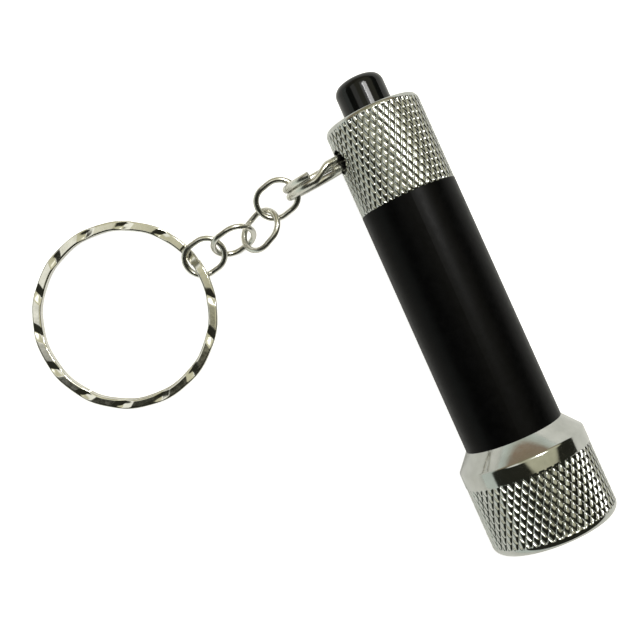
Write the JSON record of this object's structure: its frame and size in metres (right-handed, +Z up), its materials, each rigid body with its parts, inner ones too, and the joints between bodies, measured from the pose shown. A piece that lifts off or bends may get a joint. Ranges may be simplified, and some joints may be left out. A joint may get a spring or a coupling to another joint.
{
  "type": "keychain flashlight",
  "caption": "Small cylindrical flashlight with knurled metal head and tail cap, black tube, domed push button, and a chain of small links to a flat split key ring.",
  "frame": {"origin": "centre of the footprint, on the surface the flashlight lies on", "axes": "+X along the flashlight from tail to head (its axis rises 2.4 degrees towards the head, because the head is wider); +Z up; the chain and key ring lie towards -Y"},
  "size_m": [0.069, 0.068, 0.0186],
  "materials": {
    "plated_grip": "polished plating over a diamond knurl",
    "black_tube": "satin black anodising",
    "button_plastic": "glossy",
    "ring_steel": "bright nickel plating",
    "spring_steel": "plain drawn wire",
    "contact_brass": "plain",
    "switch_plastic": "moulded",
    "cell_can": "plain printed sleeve, no lettering",
    "board": "solder mask",
    "heat_sink": "turned",
    "emitter": "silicone dome on a white base",
    "reflector_metal": "metallised",
    "lens_clear": "clear",
    "seal_rubber": "moulded"
  },
  "bodies": {
    "barrel": {"barrel_tube": "black_tube", "head_seal": "seal_rubber", "tail_seal": "seal_rubber", "battery_cell": "cell_can"},
    "lamp_module": {"lamp_housing": "heat_sink", "lamp_contact": "contact_brass", "driver_board": "board", "led_board": "board", "led_emitter": "emitter", "reflector": "reflector_metal", "lens": "lens_clear", "lens_gasket": "seal_rubber"},
    "head": {"head_bezel": "plated_grip"},
    "switch_unit": {"switch_housing": "switch_plastic", "switch_terminal": "contact_brass", "battery_spring": "spring_steel", "switch_spring": "spring_steel"},
    "tail_cap": {"tail_cap": "plated_grip"},
    "button": {"button_cap": "button_plastic", "switch_plunger": "switch_plastic", "switch_contact": "contact_brass"},
    "lanyard_ring": {"lanyard_ring": "ring_steel"},
    "chain_link_1": {"chain_link_1": "ring_steel"},
    "chain_link_2": {"chain_link_2": "ring_steel"},
    "chain_link_3": {"chain_link_3": "ring_steel"},
    "chain_link_4": {"chain_link_4": "ring_steel"},
    "key_ring": {"key_ring": "ring_steel"}
  },
  "joints": [
    {"name": "head_travel", "type": "slide", "parent": "barrel", "child": "lamp_module", "axis": [0.9991, 0, 0.0418], "range_m": [0, 0.0032]},
    {"name": "head_unscrew", "type": "hinge", "parent": "lamp_module", "child": "head", "pos_m": [0.02616, 0.0249, 0.00927], "axis": [0.9991, 0, 0.0418], "range_deg": [0, 1440]},
    {"name": "tail_travel", "type": "slide", "parent": "barrel", "child": "switch_unit", "axis": [-0.9991, 0, -0.0418], "range_m": [0, 0.0032]},
    {"name": "tail_unscrew", "type": "hinge", "parent": "switch_unit", "child": "tail_cap", "pos_m": [-0.0228, 0.0249, 0.00722], "axis": [-0.9991, 0, -0.0418], "range_deg": [0, 1440]},
    {"name": "button_press", "type": "slide", "parent": "switch_unit", "child": "button", "axis": [0.9991, 0, 0.0418], "range_m": [0, 0.0014], "stiffness_N_per_m": 800, "springref_m": -0.001, "deforming": ["switch_spring"]},
    {"name": "lanyard_swing", "type": "hinge", "parent": "tail_cap", "child": "lanyard_ring", "pos_m": [-0.02446, 0.01854, 0.00641], "axis": [0.0415, 0.1158, -0.9924], "range_deg": [-8, 14]},
    {"name": "chain_link_1_swing", "type": "hinge", "parent": "lanyard_ring", "child": "chain_link_1", "pos_m": [-0.02413, 0.01474, 0.00597], "axis": [0.994, 0.0847, -0.0696], "range_deg": [-30, 60]},
    {"name": "chain_link_2_swing", "type": "hinge", "parent": "chain_link_1", "child": "chain_link_2", "pos_m": [-0.02361, 0.00739, 0.00496], "axis": [0.3955, -0.1677, 0.903], "range_deg": [-30, 30]},
    {"name": "chain_link_3_swing", "type": "hinge", "parent": "chain_link_2", "child": "chain_link_3", "pos_m": [-0.02053, 0.00337, 0.00379], "axis": [-0.419, -0.3793, 0.8249], "range_deg": [-30, 30]},
    {"name": "chain_link_4_swing", "type": "hinge", "parent": "chain_link_3", "child": "chain_link_4", "pos_m": [-0.02109, -0.00098, 0.00254], "axis": [0.8258, -0.0369, 0.5627], "range_deg": [-30, 30]},
    {"name": "key_ring_swing", "type": "hinge", "parent": "chain_link_4", "child": "key_ring", "pos_m": [-0.02075, -0.00603, 0.00165], "axis": [0.3374, -0.1596, 0.9277], "range_deg": [-30, 30]}
  ],
  "couplings": [
    {"joint": "head_travel", "follows": "head_unscrew", "m_per_rad": 0.00012732},
    {"joint": "tail_travel", "follows": "tail_unscrew", "m_per_rad": 0.00012732}
  ]
}
